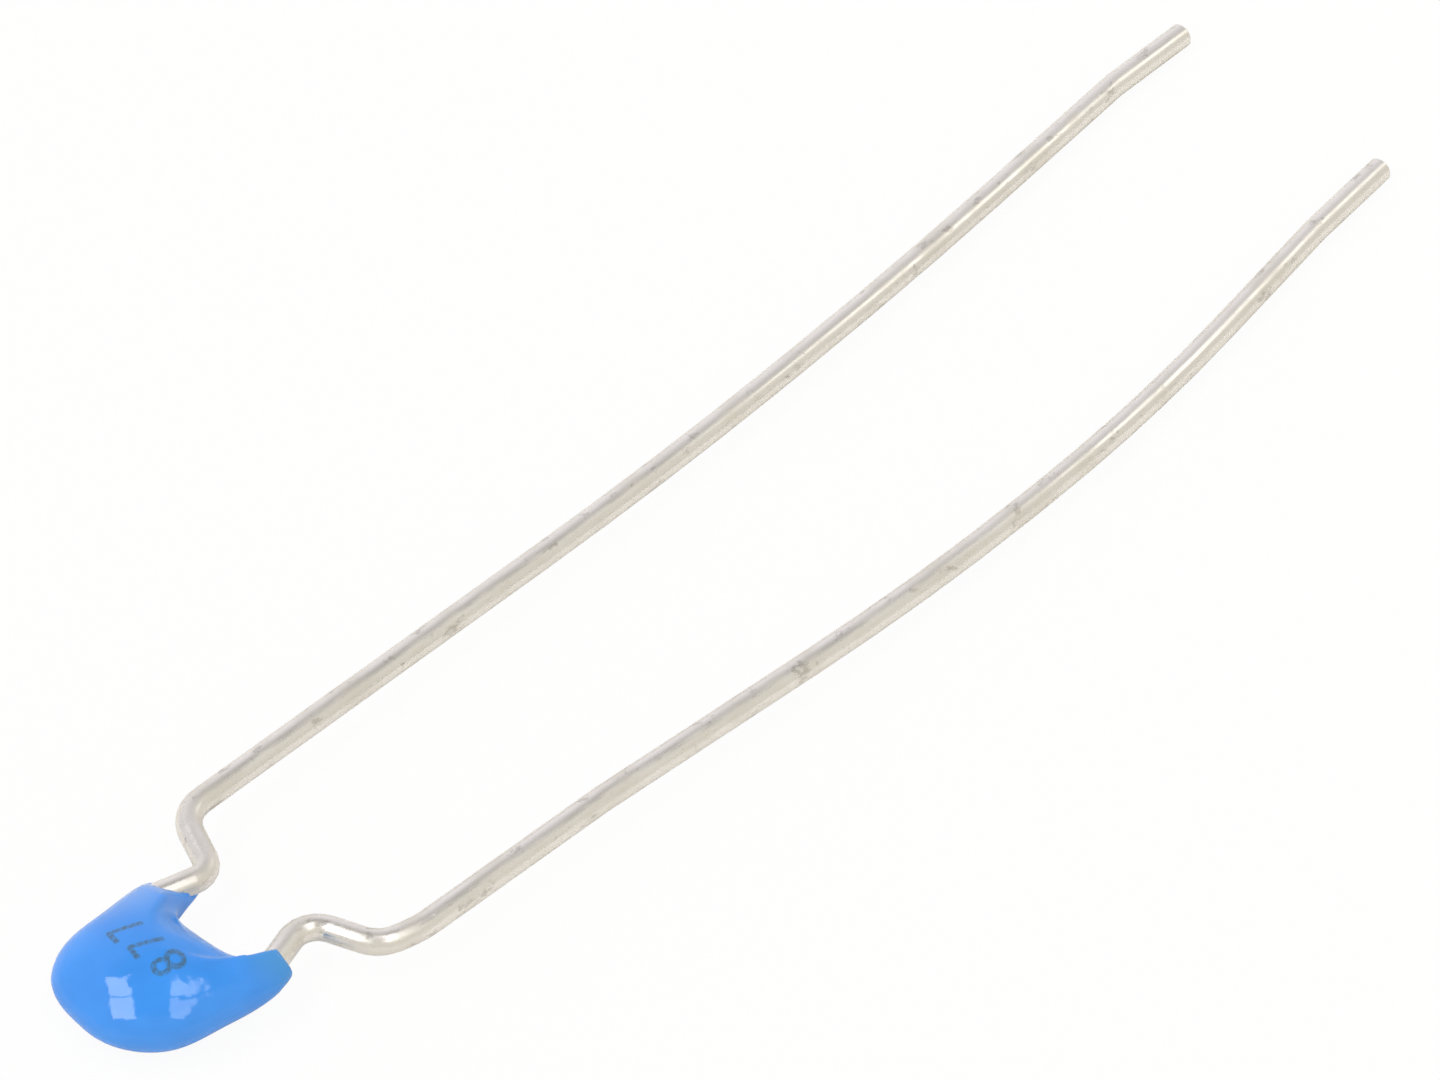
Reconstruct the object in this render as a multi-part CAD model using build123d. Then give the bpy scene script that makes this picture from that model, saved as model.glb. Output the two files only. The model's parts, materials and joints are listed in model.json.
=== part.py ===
from build123d import *
from math import cos, radians, sin, tan
import os

# Dipped radial multilayer ceramic capacitor, in millimetres.
# It is drawn in its lead plane (z = 0), with the leads along +Y and the ends of the coating near y = 0.
# The finished part is then laid down: it rests on the belly of the coating and on the two lead tips.

# Leads: round tinned wire, jogged outwards from the chip's ends to the mounting pitch.
wire_radius = 0.25
tip_chamfer = 0.05
largest_bend_fraction = 0.45
# Routes in the lead plane: x, y and the bend's radius, from the foot beside the chip to the tip.
# Beyond the jog the wire is bent a little by handling, in arcs as wide as the runs allow.
wide = 400
left_route = [(-1.22, -1.76, 0), (-1.22, -1.25, 1.0), (-1.36, -0.70, 0.6), (-1.04, 0.54, 0.42), (-2.49, 1.11, 0.75),
              (-2.755, 13.5, wide), (-3.335, 20.6, wide), (-4.255, 27.65, 0), (-4.345, 29.76, 0)]
right_route = [(1.28, -1.76, 0), (1.28, -1.00, 1.0), (1.37, -0.28, 0.6), (0.95, 0.97, 0.55), (2.32, 1.54, 0.70),
               (2.53, 2.32, 2.4), (2.53, 6.9, 0), (2.86, 15.0, wide), (2.50, 21.3, wide), (1.34, 27.5, 0),
               (1.04, 29.74, 0)]

# Chip: a ceramic block with an end cap at each end, held between the two leads.
chip_length = 2.00
chip_width = 1.25
chip_height = 0.85
chip_centre_x = 0.03
chip_centre_y = -1.85
chip_drop = 0.20
cap_wall = 0.04
cap_band = 0.42
cap_edge_chamfer = 0.07
block_edge_chamfer = 0.05
# Inner electrodes: thin plates that start from alternate ends of the block.
electrode_count = 41
electrode_pitch = 0.016
electrode_thickness = 0.002
electrode_side_margin = 0.19
electrode_end_margin = 0.24
contact_layer = 0.010

# Solder: a film round the foot of each lead, drawn out into a fillet against the end cap.
solder_film = 0.025
solder_width = 0.60
solder_spread = 0.33
solder_waist = 0.17
solder_root = 0.10

# Coating: a dipped drop with an ear climbing each lead and an arch between the ears.
# It is drawn about its own mid-plane, which swings down from the lead plane towards the bottom of the drop.
coat_swing = 3.3
coat_half_thickness = 0.83
coat_centre_y = -1.65
coat_fullness = 2.12
fade_power = 1.35
# The outline at its fullest. Each point has x, y and its bearing in degrees on the oval that the outline
# fades into at the crown.
coat_outline = [(-0.10, -3.46, -90), (0.82, -3.20, -59), (1.40, -2.61, -33), (1.69, -1.50, 3), (1.85, -0.34, 16),
                (1.72, 0.13, 22), (1.42, 0.84, 28), (1.05, -0.24, 40), (0.76, -0.52, 63), (-0.03, -0.66, 90),
                (-0.77, -0.57, 118), (-0.92, 0.16, 132), (-1.03, 0.84, 142), (-1.48, 0.08, 150),
                (-1.67, -0.60, 162), (-1.65, -1.50, 177), (-1.65, -2.50, 213), (-1.14, -3.26, 239)]
crown_half_width = 1.65
crown_reach_up = 0.67
crown_reach_down = 1.79
# Angles of the sections through the thickness, from the mid-plane to the crown.
section_angles = [16, 31, 45, 58, 70, 79, 85]
# Each ear ends in a face across its lead: where, how far it turns outwards and how far it leans back.
left_ear_end = (-1.18, -0.14, 20, 50)
right_ear_end = (1.34, 0.065, -8, 10)

# Laid down: the lead plane falls towards the tips by this many degrees.
lie_angle = 1.24


def bend_radii(route):
    # Each bend keeps its own radius, or the largest one that its two straight runs leave room for.
    points = [Vector(x, y) for x, y, _ in route]
    radii = []
    for before, corner, after, (_, _, radius) in zip(points, points[1:], points[2:], route[1:]):
        incoming = corner - before
        outgoing = after - corner
        half_turn = radians(incoming.get_angle(outgoing) / 2)
        room = largest_bend_fraction * min(incoming.length, outgoing.length) / tan(half_turn)
        radii.append(min(radius, room))
    return radii


def lead(route):
    # One wire swept from its tip down to its foot, with a square foot and a sheared tip.
    radii = bend_radii(route)
    path = FilletPolyline(*[(x, y) for x, y, _ in reversed(route)], radius=radii[::-1])
    start = Plane(path @ 0, z_dir=path % 0)
    wire = sweep(start * Circle(wire_radius), path)
    tip_edge = wire.edges().sort_by(Axis.Y)[-1]
    return chamfer(tip_edge, tip_chamfer)


def chip_location():
    return Location((chip_centre_x, chip_centre_y, -chip_drop))


def chip_envelope():
    # The whole chip with its caps on.
    brick = Box(chip_length, chip_width, chip_height)
    return chamfer(brick.edges(), cap_edge_chamfer)


def ceramic_envelope():
    # The fired block without its slots: a brick with tumbled edges, one cap wall smaller than the chip.
    block = Box(chip_length - 2 * cap_wall, chip_width - 2 * cap_wall, chip_height - 2 * cap_wall)
    return chamfer(block.edges(), block_edge_chamfer)


def electrode_comb(side):
    # The plates that one end cap feeds: every second electrode, joined by the fired contact layer at that end.
    half_length = chip_length / 2 - cap_wall
    plate_width = chip_width - 2 * cap_wall - 2 * electrode_side_margin
    plate_length = 2 * half_length - electrode_end_margin - contact_layer
    plate_x = side * (half_length - contact_layer - plate_length / 2)
    first = 0 if side < 0 else 1
    stack_height = (electrode_count - 1) * electrode_pitch
    heights = [i * electrode_pitch - stack_height / 2 for i in range(first, electrode_count, 2)]
    plates = [Pos(plate_x, 0, z) * Box(plate_length, plate_width, electrode_thickness) for z in heights]
    layer_x = side * (half_length - contact_layer / 2)
    layer = Pos(layer_x, 0, 0) * Box(contact_layer, plate_width, stack_height + electrode_pitch)
    return layer.fuse(*plates)


def end_cap(side, block):
    # The plated cap: five walls over the end of the block, open towards the middle.
    keep_x = side * (chip_length - cap_band) / 2
    keep = Pos(keep_x, 0, 0) * Box(cap_band, 2 * chip_width, 2 * chip_height)
    return (chip_envelope() & keep) - block


def solder_joint(side):
    # Section across the lead: a film round the wire and two hollow flanks that run out on the end cap.
    # The web is drawn into the chip by the root, so that the chip trims it to the cap's bevelled edge.
    film_radius = wire_radius + solder_film
    wire_x = side * (chip_length / 2 + wire_radius)
    face_x = side * chip_length / 2
    root_x = face_x - side * solder_root
    waist_x = side * (chip_length / 2 + solder_waist)
    upper_flank = ThreePointArc((face_x, solder_spread), (face_x + side * 0.06, film_radius - 0.01),
                                (waist_x, film_radius * 0.93))
    lower_flank = mirror(upper_flank, about=Plane.XZ)
    closing = Line(upper_flank @ 1, lower_flank @ 1)
    root = Polyline(upper_flank @ 0, (root_x, solder_spread), (root_x, -solder_spread), lower_flank @ 0)
    web = make_face([upper_flank, closing, lower_flank, root])
    profile = web + Pos(wire_x, 0) * Circle(film_radius)
    # The sketch's own Y becomes the part's Z, and it is drawn out along the lead.
    joint = extrude(Plane.XZ * profile, solder_width / 2, both=True)
    foot_y = left_route[0][1]
    centre_y = foot_y + solder_width / 2 - solder_film
    return Pos(chip_centre_x, centre_y, 0) * joint


def coat_section(height):
    # The outline at one height: drawn in towards the middle, and part of the way to the crown's oval.
    fraction = abs(height) / coat_half_thickness
    shrink = (1 - fraction ** coat_fullness) ** (1 / coat_fullness)
    fade = fraction ** fade_power
    points = []
    for x, y, bearing in coat_outline:
        upward = sin(radians(bearing))
        oval_x = crown_half_width * cos(radians(bearing))
        oval_y = upward * (crown_reach_up if upward > 0 else crown_reach_down)
        mixed_x = x + fade * (oval_x - x)
        mixed_y = (y - coat_centre_y) + fade * (oval_y - (y - coat_centre_y))
        points.append((mixed_x * shrink, coat_centre_y + mixed_y * shrink))
    return Pos(0, 0, height) * make_face(Spline(*points, periodic=True))


def ear_trim(x, y, turn, lean):
    # The block that cuts one ear off across its lead.
    size = 1.6
    return Pos(x, y, 0) * Rot(0, 0, turn) * Rot(lean, 0, 0) * Pos(0, size / 2, 0) * Box(size, size, 2 * size)


def coat_drop_shape():
    heights = [coat_half_thickness * sin(radians(angle)) for angle in section_angles]
    levels = [-height for height in reversed(heights)] + [0] + heights
    drop = loft([coat_section(height) for height in levels])
    return Rot(coat_swing, 0, 0) * drop - ear_trim(*left_ear_end) - ear_trim(*right_ear_end)


def laid_down(shapes):
    # Tips the lead plane down, then puts the middle of the part's footprint on the origin at floor height.
    tipped = {name: Rot(-lie_angle, 0, 0) * shape for name, shape in shapes.items()}
    box = Compound(list(tipped.values())).bounding_box()
    centre = box.center()
    return {name: Pos(-centre.X, -centre.Y, -box.min.Z) * shape for name, shape in tipped.items()}


def build():
    placed = chip_location()
    envelope = ceramic_envelope()
    left_comb = electrode_comb(-1)
    right_comb = electrode_comb(1)
    leads = {"lead_left": lead(left_route), "lead_right": lead(right_route)}
    chip = {
        "ceramic_block": envelope - left_comb - right_comb,
        "electrodes_left": left_comb,
        "electrodes_right": right_comb,
        "end_cap_left": end_cap(-1, envelope),
        "end_cap_right": end_cap(1, envelope),
    }
    shapes = {name: placed * shape for name, shape in chip.items()}
    filled_chip = placed * chip_envelope()
    for side, name in ((-1, "left"), (1, "right")):
        shapes["solder_" + name] = solder_joint(side) - leads["lead_" + name] - filled_chip
    shapes.update(leads)
    inside = list(shapes.values())
    shapes["coating"] = coat_drop_shape().cut(*inside)
    return laid_down(shapes)


os.makedirs("parts", exist_ok=True)
parts = build()
for name, shape in parts.items():
    export_step(shape, "parts/" + name + ".step")
    print(name, len(shape.solids()), "solid,", round(shape.volume, 4), "mm3,", "valid" if shape.is_valid else "bad")
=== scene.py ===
import json
import math
import bpy
from mathutils import Matrix, Vector

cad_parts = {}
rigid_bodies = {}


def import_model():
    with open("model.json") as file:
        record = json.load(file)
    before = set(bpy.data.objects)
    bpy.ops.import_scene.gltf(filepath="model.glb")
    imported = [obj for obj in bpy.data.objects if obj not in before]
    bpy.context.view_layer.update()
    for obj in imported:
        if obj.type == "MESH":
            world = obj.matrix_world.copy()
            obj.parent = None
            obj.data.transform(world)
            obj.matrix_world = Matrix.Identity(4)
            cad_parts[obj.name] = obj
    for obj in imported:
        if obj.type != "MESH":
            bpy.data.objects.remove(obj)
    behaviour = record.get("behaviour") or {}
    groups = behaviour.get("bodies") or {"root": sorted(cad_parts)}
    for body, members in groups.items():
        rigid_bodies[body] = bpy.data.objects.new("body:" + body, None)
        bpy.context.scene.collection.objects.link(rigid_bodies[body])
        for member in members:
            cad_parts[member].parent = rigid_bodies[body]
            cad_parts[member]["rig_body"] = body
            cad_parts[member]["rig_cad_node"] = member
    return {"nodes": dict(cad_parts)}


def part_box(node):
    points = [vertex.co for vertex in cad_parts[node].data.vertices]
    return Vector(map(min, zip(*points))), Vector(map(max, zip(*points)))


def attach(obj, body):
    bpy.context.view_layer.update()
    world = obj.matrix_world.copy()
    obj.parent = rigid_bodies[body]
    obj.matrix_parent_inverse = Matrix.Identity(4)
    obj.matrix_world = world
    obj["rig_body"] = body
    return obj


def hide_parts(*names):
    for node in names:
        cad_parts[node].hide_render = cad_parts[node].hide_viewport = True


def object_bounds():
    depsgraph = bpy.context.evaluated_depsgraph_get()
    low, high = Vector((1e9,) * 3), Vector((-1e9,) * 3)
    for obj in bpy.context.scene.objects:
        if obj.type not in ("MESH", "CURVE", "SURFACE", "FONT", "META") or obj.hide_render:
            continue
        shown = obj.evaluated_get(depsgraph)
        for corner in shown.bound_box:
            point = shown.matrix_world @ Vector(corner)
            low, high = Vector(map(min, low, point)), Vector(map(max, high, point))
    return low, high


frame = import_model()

mm = 0.001
workScale = 1000  # pieces are shaped at 1 unit = 1 mm, because the remesh has no finer voxel than 0.1 mm
mergeWithin = 0.0005  # in millimetres
smoothAngle = 38  # edges sharper than this many degrees stay sharp
cadLow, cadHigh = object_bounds()
cadMiddle = (cadLow + cadHigh) / 2


class Signal:
    # One output of a node. Arithmetic on it adds Math nodes to the same material.
    def __init__(self, tree, socket=None):
        self.tree = tree
        self.socket = socket

    def node(self, kind, settings=None, values=None, output=0):
        made = self.tree.nodes.new(kind)
        for key, value in (settings or {}).items():
            setattr(made, key, value)
        for key, value in (values or {}).items():
            if isinstance(value, Signal):
                self.tree.links.new(value.socket, made.inputs[key])
            else:
                made.inputs[key].default_value = value
        return Signal(self.tree, made.outputs[output] if len(made.outputs) else None)

    def calc(self, operation, *others):
        return self.node("ShaderNodeMath", {"operation": operation}, dict(enumerate((self,) + others)))

    def flipped(self, operation, other):
        return self.node("ShaderNodeMath", {"operation": operation}, {0: other, 1: self})

    def __add__(self, other):
        return self.calc("ADD", other)

    def __radd__(self, other):
        return self.flipped("ADD", other)

    def __sub__(self, other):
        return self.calc("SUBTRACT", other)

    def __rsub__(self, other):
        return self.flipped("SUBTRACT", other)

    def __mul__(self, other):
        return self.calc("MULTIPLY", other)

    def __rmul__(self, other):
        return self.flipped("MULTIPLY", other)

    def __truediv__(self, other):
        return self.calc("DIVIDE", other)

    def step(self, low, high):
        # 0 below low, 1 above high and smooth between them
        return self.node("ShaderNodeMapRange", {"interpolation_type": "SMOOTHSTEP"},
                         {"Value": self, "From Min": low, "From Max": high})

    def fade(self, low, high):
        # 1 below low, 0 above high
        return 1 - self.step(low, high)

    def axis(self, name):
        return self.node("ShaderNodeSeparateXYZ", None, {"Vector": self}, name)


def startMaterial(name):
    material = bpy.data.materials.new(name)
    material.use_nodes = True
    material.node_tree.nodes.clear()
    return material, Signal(material.node_tree).node("ShaderNodeTexCoord", output="Object")


def finishMaterial(material, place, values):
    shader = place.node("ShaderNodeBsdfPrincipled", None, values)
    place.node("ShaderNodeOutputMaterial", None, {"Surface": shader})
    return material


def noise(place, scale, detail=3, roughness=0.5, stretch=(1, 1, 1)):
    # scale is in blotches a millimetre
    moved = place.node("ShaderNodeMapping", {"vector_type": "POINT"}, {"Vector": place, "Scale": stretch})
    return place.node("ShaderNodeTexNoise", None,
                      {"Vector": moved, "Scale": scale * workScale, "Detail": detail, "Roughness": roughness})


def blend(mask, first, second):
    # first where the mask is 0, second where it is 1; colours are RGB
    first, second = (colour if isinstance(colour, Signal) else (*colour, 1) for colour in (first, second))
    return mask.node("ShaderNodeMix", {"data_type": "RGBA"}, {0: mask, 6: first, 7: second}, 2)


def bump(height, strength, depth):
    return height.node("ShaderNodeBump", None, {"Height": height, "Strength": strength, "Distance": depth})


# Coating material: glossy blue epoxy with plain numerals stamped on its upper face.
epoxy = {
    "colour": (0.033, 0.290, 0.87),
    "deepColour": (0.027, 0.255, 0.79),
    "inkColour": (0.045, 0.105, 0.125),
    "roughness": 0.06,
    "ior": 1.65,
    "rippleDepth": 0.00003,
    "inkCover": 0.85,
}
# Painted light on the coating's ears: a painted reflection makes the left ear paler and painted shade makes the
# right ear darker. Middle on X and Y and reach, both in millimetres, colour and strength.
paintedLightSpots = [
    ((-0.80, -14.15), 1.15, (0.17, 0.37, 0.80), 0.62),
    ((2.25, -13.2), 0.95, (0.045, 0.28, 0.62), 0.75),
]
# Stamp: three plain numerals in an even row. Middle of the row in millimetres from the coating's box centre.
stamp = {"middle": (-0.18, -0.235), "pitch": 0.56, "lean": 10, "height": 0.58, "stroke": 0.025, "blur": 0.050,
         "slant": 0.325, "faintest": 0.42}


def ringMask(u, v, halfWidth, halfHeight):
    # an oval line about the origin of u and v
    reach = ((u / halfWidth) * (u / halfWidth) + (v / halfHeight) * (v / halfHeight)).calc("SQRT")
    gap = (reach - 1).calc("ABSOLUTE") * min(halfWidth, halfHeight)
    return gap.fade(stamp["stroke"], stamp["stroke"] + stamp["blur"])


def barMask(u, v, halfLength):
    side = u.calc("ABSOLUTE").fade(stamp["stroke"], stamp["stroke"] + stamp["blur"])
    return side * v.calc("ABSOLUTE").fade(halfLength, halfLength + stamp["blur"])


def sevenMask(u, v):
    # a bar along the top and a slanting leg
    half = stamp["height"] / 2
    leg = u - v * stamp["slant"] - half * (0.5 - stamp["slant"])
    return barMask(v - half, u, half * 0.5).calc("MAXIMUM", barMask(leg, v, half))


def eightMask(u, v):
    # two rings, the lower one a little wider
    lobe = stamp["height"] / 4
    return ringMask(u, v - lobe, lobe * 0.96, lobe).calc("MAXIMUM", ringMask(u, v + lobe, lobe * 1.12, lobe))


def digitPlane(place, middle, index):
    # u and v in millimetres on one digit; they are read from the leads' side, so u runs to -X and v to -Y
    x, y = stamp["middle"]
    spot = middle + Vector(((x + stamp["pitch"] * (1 - index)) * mm, y * mm, 0))
    centred = place.node("ShaderNodeVectorMath", {"operation": "SUBTRACT"}, {0: place, 1: spot})
    turn = math.radians(180 + stamp["lean"])
    turned = place.node("ShaderNodeMapping", {"vector_type": "POINT"},
                        {"Vector": centred, "Rotation": (0, 0, turn), "Scale": (workScale,) * 3})
    return turned.axis("X"), turned.axis("Y")


def stampMask(place):
    low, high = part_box("coating")
    middle = (low + high) / 2
    digits = eightMask(*digitPlane(place, middle, 0))
    for index in (1, 2):
        digits = digits.calc("MAXIMUM", sevenMask(*digitPlane(place, middle, index)))
    worn = noise(place, 13, 4, 0.65).step(0.38, 0.60)
    topOnly = place.axis("Z").step(middle.z, middle.z + 0.3 * mm)
    return digits * topOnly * (stamp["faintest"] + (1 - stamp["faintest"]) * worn)


def epoxyCoat():
    material, place = startMaterial("blueEpoxy")
    cloud = noise(place, 0.7, 2).step(0.35, 0.65)
    colour = blend(cloud, epoxy["colour"], epoxy["deepColour"])
    # painted reflection on the left ear and painted shade on the right ear, blended into the base colour
    for (x, y), reach, paintedColour, strength in paintedLightSpots:
        away = (place.axis("X") - x * mm) * workScale, (place.axis("Y") - y * mm) * workScale
        distance = (away[0] * away[0] + away[1] * away[1]).calc("SQRT")
        colour = blend(distance.fade(0.1 * reach, reach) * strength, colour, paintedColour)
    ink = stampMask(place)
    colour = blend(ink * epoxy["inkCover"], colour, epoxy["inkColour"])
    ripple = noise(place, 1.3, 2) * 0.8 + noise(place, 7, 2) * 0.12
    return finishMaterial(material, place, {
        "Base Color": colour, "Roughness": noise(place, 5, 3) * 0.05 + epoxy["roughness"] - 0.02 + ink * 0.15,
        "IOR": epoxy["ior"], "Normal": bump(ripple, 0.5, epoxy["rippleDepth"])})


# Lead material: matt-bright tin with drawing lines along the wire, stains and small scuffs.
tin = {"colour": (0.80, 0.775, 0.725), "dullColour": (0.70, 0.665, 0.59), "scuffColour": (0.46, 0.43, 0.39),
       "roughness": 0.21, "bump": 0.16, "bumpDepth": 0.01}


def tinnedWire():
    material, place = startMaterial("tinnedWire")
    streak = noise(place, 6, 3, 0.6, (1, 0.12, 1)).step(0.35, 0.70)
    blotch = noise(place, 1.1, 3).step(0.42, 0.68)
    scuff = noise(place, 3.2, 5, 0.7, (1, 0.55, 1)).step(0.575, 0.66)
    colour = blend(blotch * 0.55, tin["colour"], tin["dullColour"])
    colour = blend(scuff * 0.6, colour, tin["scuffColour"])
    height = streak * 0.35 + noise(place, 14, 3) * 0.06 - scuff * 0.6
    return finishMaterial(material, place, {
        "Base Color": colour, "Metallic": 1.0, "Roughness": streak * 0.12 + blotch * 0.10 + tin["roughness"],
        "Normal": bump(height, tin["bump"], tin["bumpDepth"] * mm)})


# Hidden pieces: two colours that mix in blotches, metallic, roughness, and grains a millimetre.
hidden = {
    "solder": ((0.62, 0.62, 0.61), (0.45, 0.45, 0.45), 1.0, 0.35, 6),
    "platedTin": ((0.66, 0.65, 0.63), (0.50, 0.49, 0.47), 1.0, 0.42, 9),
    "nickel": ((0.52, 0.50, 0.46), (0.38, 0.36, 0.33), 1.0, 0.38, 12),
    "firedCeramic": ((0.36, 0.25, 0.17), (0.26, 0.17, 0.11), 0.0, 0.55, 14),
}


def grainy(name):
    first, second, metallic, roughness, scale = hidden[name]
    material, place = startMaterial(name)
    grain = noise(place, scale, 4)
    mottle = noise(place, scale / 6, 2).step(0.35, 0.65)
    return finishMaterial(material, place, {
        "Base Color": blend(mottle, first, second), "Metallic": metallic,
        "Roughness": grain * 0.15 + roughness,
        "Normal": bump(grain, 0.3, 0.004 * mm)})


def onlySelect(piece):
    bpy.ops.object.select_all(action="DESELECT")
    piece.select_set(True)
    bpy.context.view_layer.objects.active = piece


def applied(piece, kind, **settings):
    onlySelect(piece)
    bpy.ops.object.modifier_add(type=kind)
    modifier = piece.modifiers[-1]
    for key, value in settings.items():
        setattr(modifier, key, value)
    bpy.ops.object.modifier_apply(modifier=modifier.name)


def workCopy(node, name):
    # a merged copy of a CAD node at 1 unit = 1 mm
    onlySelect(frame["nodes"][node])
    bpy.ops.object.duplicate()
    piece = bpy.context.view_layer.objects.active
    piece.name = name
    piece.data.name = name
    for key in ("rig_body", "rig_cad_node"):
        if key in piece:
            del piece[key]
    bpy.ops.object.parent_clear(type="CLEAR_KEEP_TRANSFORM")
    bpy.ops.transform.resize(value=(workScale,) * 3, center_override=(0, 0, 0))
    bpy.ops.object.transform_apply(location=True, rotation=True, scale=True)
    bpy.ops.object.mode_set(mode="EDIT")
    bpy.ops.mesh.select_all(action="SELECT")
    bpy.ops.mesh.remove_doubles(threshold=mergeWithin)
    bpy.ops.object.mode_set(mode="OBJECT")
    return piece


def handOver(piece, node, material):
    # back to metres, then the piece stands for its CAD node
    onlySelect(piece)
    bpy.ops.transform.resize(value=(1 / workScale,) * 3, center_override=(0, 0, 0))
    bpy.ops.object.transform_apply(location=True, rotation=True, scale=True)
    bpy.ops.object.shade_smooth_by_angle(angle=math.radians(smoothAngle))
    piece.data.materials.clear()
    piece.data.materials.append(material)
    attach(piece, "root")
    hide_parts(node)


# Ear ends: place on X and Y in millimetres, and how many times each round smooths what is in its reach.
# There, what lies nearer to a wire than the grip and faces it is set a bite under the wire's surface, so that
# the ear closes on the wire.
coat = {"voxel": 0.035, "smoothing": 6, "factor": 0.5, "grip": 0.018, "bite": 0.006,
        "earEnds": [((-0.41, -13.22), 2), ((2.12, -13.08), 8)], "earRounds": [0.70, 0.50, 0.38],
        "gripReach": 1.0, "facingLimit": -0.2}


def earDistance(vertex):
    return min(math.hypot(vertex.co.x - x, vertex.co.y - y) for (x, y), _ in coat["earEnds"])


def gripWires(piece):
    # seats the ears on the wires, and returns the vertices that stay free to be smoothed
    wires = [frame["nodes"][node] for node in ("lead_left", "lead_right")]
    free = []
    for vertex in piece.data.vertices:
        if earDistance(vertex) > coat["gripReach"]:
            free.append(vertex.index)
            continue
        spot = vertex.co * mm
        hits = [wire.closest_point_on_mesh(spot)[1:3] for wire in wires]
        point, normal = min(hits, key=lambda hit: (hit[0] - spot).length)
        facesWire = vertex.normal.dot(normal) < coat["facingLimit"]
        if facesWire and (point - spot).length < coat["grip"] * mm:
            vertex.co = point * workScale - normal * coat["bite"]
        else:
            free.append(vertex.index)
    return free


def dropCrumbs(piece):
    # the remesh leaves a crumb inside the thin ear: only what is joined to the bottom of the drop stays
    onlySelect(piece)
    for vertex in piece.data.vertices:
        vertex.select = False
    min(piece.data.vertices, key=lambda vertex: vertex.co.y).select = True
    bpy.ops.object.mode_set(mode="EDIT")
    bpy.ops.mesh.select_linked()
    bpy.ops.mesh.select_all(action="INVERT")
    bpy.ops.mesh.delete(type="VERT")
    bpy.ops.object.mode_set(mode="OBJECT")


def softenEars(piece, free):
    for (x, y), repeats in coat["earEnds"]:
        for reach in coat["earRounds"]:
            onlySelect(piece)
            for vertex in piece.data.vertices:
                vertex.select = False
            for index in free:
                vertex = piece.data.vertices[index]
                vertex.select = math.hypot(vertex.co.x - x, vertex.co.y - y) < reach
            bpy.ops.object.mode_set(mode="EDIT")
            bpy.ops.mesh.vertices_smooth(factor=coat["factor"], repeat=repeats)
            bpy.ops.object.mode_set(mode="OBJECT")


def makeCoat():
    piece = workCopy("coating", "epoxy_coat")
    applied(piece, "REMESH", mode="VOXEL", voxel_size=coat["voxel"], use_smooth_shade=True)
    dropCrumbs(piece)
    free = gripWires(piece)
    piece.vertex_groups.new(name="free").add(free, 1.0, "REPLACE")
    applied(piece, "SMOOTH", factor=coat["factor"], iterations=coat["smoothing"], vertex_group="free")
    softenEars(piece, free)
    handOver(piece, "coating", epoxyCoat())
    print("coat done:", len(piece.data.polygons), "faces")


def dressNodes():
    finishes = {"solder_left": "solder", "solder_right": "solder", "end_cap_left": "platedTin",
                "end_cap_right": "platedTin", "electrodes_left": "nickel", "electrodes_right": "nickel",
                "ceramic_block": "firedCeramic"}
    made = {name: grainy(name) for name in hidden}
    for node, finish in finishes.items():
        frame["nodes"][node].data.materials.clear()
        frame["nodes"][node].data.materials.append(made[finish])
    wire = tinnedWire()
    for node in ("lead_left", "lead_right"):
        frame["nodes"][node].data.materials.clear()
        frame["nodes"][node].data.materials.append(wire)
    print("CAD nodes dressed")


floorLook = {"size": 2.0, "colour": (0.86, 0.85, 0.82), "cameraWhite": 0.94}


def makeFloor():
    bpy.ops.mesh.primitive_plane_add(size=floorLook["size"], location=(0, 0, cadLow.z))
    floor = bpy.context.object
    floor.name = "studio_floor"
    bpy.ops.object.transform_apply(location=True, rotation=True, scale=True)
    material = bpy.data.materials.new("paleFloor")
    material.use_nodes = True
    material.node_tree.nodes.clear()
    start = Signal(material.node_tree)
    seen = start.node("ShaderNodeLightPath", output="Is Camera Ray")
    paper = start.node("ShaderNodeBsdfDiffuse", None, {"Color": (*floorLook["colour"], 1)})
    white = start.node("ShaderNodeEmission", None, {"Color": (1, 1, 1, 1), "Strength": 1.0})
    mixed = start.node("ShaderNodeMixShader", None, {0: seen * floorLook["cameraWhite"], 1: paper, 2: white})
    start.node("ShaderNodeOutputMaterial", None, {"Surface": mixed})
    floor.data.materials.append(material)


# Room: lilac-white walls on the left, creamier ones on the right, dark overhead, a big soft light behind on
# the left and panes of windows above. A pane has its radiance and its corners, which are azimuth and elevation
# in degrees, as seen from the object.
room = {"left": (0.82, 0.80, 0.84), "right": (0.80, 0.78, 0.72), "overhead": (0.49, 0.48, 0.47),
        "darkFrom": 0.74, "darkTo": 0.88}
softLight = {"towards": (-118, 10), "colour": (1.0, 0.98, 1.0), "radiance": 0.16, "edge": 0.80, "core": 0.97}
panes = [
    (3.3, [(-75, 52), (-89, 64), (-38, 73), (-42, 53)]),
    (3.2, [(-40.5, 52), (-33, 73), (20, 48), (-1, 30)]),
    (2.6, [(-155, 77), (147, 71), (112, 59), (98, 81)]),
    (2.0, [(89, 79), (109, 56), (87, 30), (66, 48)]),
]


def direction(azimuth, elevation):
    a, e = math.radians(azimuth), math.radians(elevation)
    return Vector((math.sin(a) * math.cos(e), -math.cos(a) * math.cos(e), math.sin(e)))


def facing(way, other):
    return way.node("ShaderNodeVectorMath", {"operation": "DOT_PRODUCT"}, {0: way, 1: other}, "Value")


def paneMask(way, corners):
    # inside the four planes that go through the object and the pane's edges
    ways = [direction(*corner) for corner in corners]
    middle = sum(ways, Vector())
    mask = 1
    for first, second in zip(ways, ways[1:] + ways[:1]):
        edge = first.cross(second).normalized()
        if edge.dot(middle) < 0:
            edge.negate()
        mask = mask * facing(way, edge).step(-0.012, 0.03)
    return mask


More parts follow.
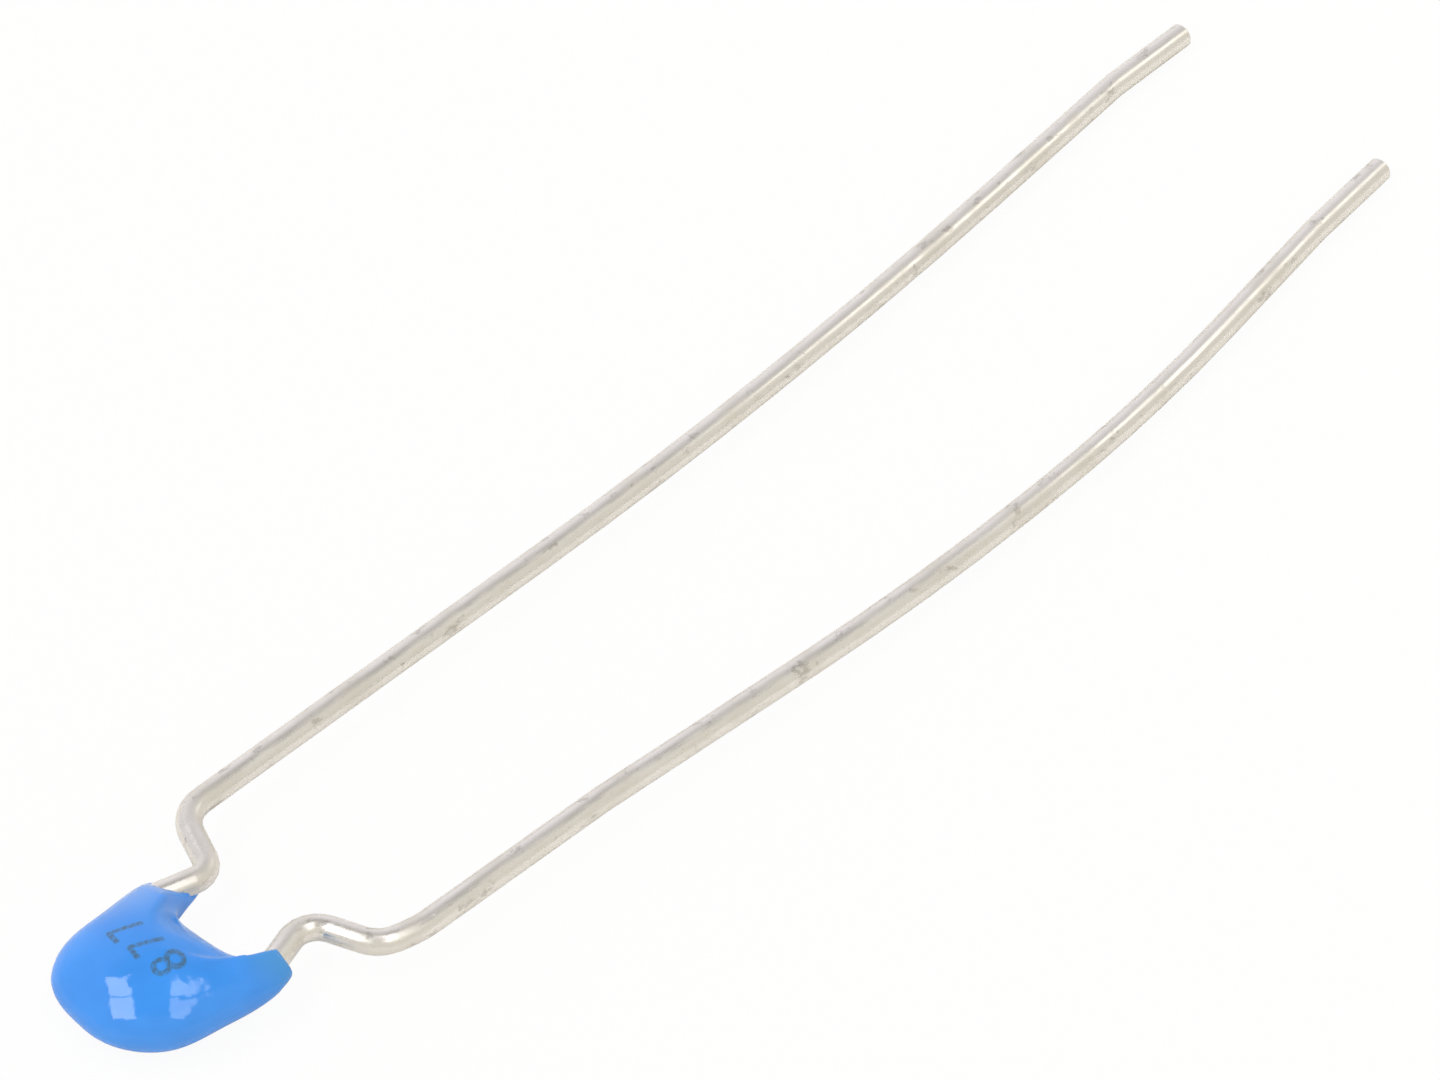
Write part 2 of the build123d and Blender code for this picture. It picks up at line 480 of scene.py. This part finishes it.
def makeRoom():
    world = bpy.data.worlds.new("studioRoom")
    bpy.context.scene.world = world
    world.use_nodes = True
    world.node_tree.nodes.clear()
    way = Signal(world.node_tree).node("ShaderNodeTexCoord", output="Generated")
    walls = blend(way.axis("X").step(-0.45, 0.45), room["left"], room["right"])
    glow = blend(way.axis("Z").step(room["darkFrom"], room["darkTo"]), walls, room["overhead"])
    soft = facing(way, direction(*softLight["towards"])).step(softLight["edge"], softLight["core"])
    bright = soft * softLight["radiance"]
    for radiance, corners in panes:
        bright = bright + paneMask(way, corners) * radiance
    base = way.node("ShaderNodeBackground", None, {"Color": glow, "Strength": 1.0})
    extra = way.node("ShaderNodeBackground", None, {"Color": (*softLight["colour"], 1), "Strength": bright})
    light = way.node("ShaderNodeAddShader", None, {0: base, 1: extra})
    white = way.node("ShaderNodeBackground", None, {"Color": (1, 1, 1, 1), "Strength": 1.0})
    seen = way.node("ShaderNodeLightPath", output="Is Camera Ray")
    mixed = way.node("ShaderNodeMixShader", None, {0: seen, 1: light, 2: white})
    way.node("ShaderNodeOutputWorld", None, {"Surface": mixed})


# A small soft lamp beyond the lead tips, which draws the bright line along the far half of the wires.
tipLamp = {"place": (8.0, 30.0, 23.0), "aim": (0, 11, 0), "width": 12, "height": 13, "radiance": 0.85,
           "colour": (1.0, 0.985, 0.94)}


def makeTipLamp():
    place, aim = (Vector(tipLamp[key]) * mm for key in ("place", "aim"))
    bpy.ops.object.light_add(type="AREA", location=place)
    lamp = bpy.context.object
    lamp.name = "tip_lamp"
    lamp.rotation_euler = (aim - place).to_track_quat("-Z", "Y").to_euler()
    lamp.data.shape = "RECTANGLE"
    lamp.data.size, lamp.data.size_y = tipLamp["width"] * mm, tipLamp["height"] * mm
    lamp.data.energy = math.pi * lamp.data.size * lamp.data.size_y * tipLamp["radiance"]
    lamp.data.color = tipLamp["colour"]


# Camera: from which side it looks, at what, and how long the lens is.
camera = {"azimuth": 45.266, "elevation": 46.692, "roll": 0.175, "distance": 0.150,
          "target": (0.00309, -0.00302, 0.00508), "lens": 207.27, "sensor": 36, "clipStart": 0.001}


def makeCamera():
    way = direction(camera["azimuth"], camera["elevation"])
    spot = Vector((cadMiddle.x, cadMiddle.y, cadLow.z)) + Vector(camera["target"])
    bpy.ops.object.camera_add(location=spot + way * camera["distance"])
    made = bpy.context.object
    made.rotation_mode = "QUATERNION"
    roll = Matrix.Rotation(math.radians(camera["roll"]), 4, "Z")
    made.rotation_quaternion = ((-way).to_track_quat("-Z", "Y").to_matrix().to_4x4() @ roll).to_quaternion()
    made.data.lens = camera["lens"]
    made.data.sensor_width = camera["sensor"]
    made.data.clip_start = camera["clipStart"]
    bpy.context.scene.camera = made


bpy.context.scene.view_settings.view_transform = "Standard"
makeCamera()
makeFloor()
makeRoom()
makeTipLamp()
print("camera, floor, room and lamp done")
dressNodes()
makeCoat()
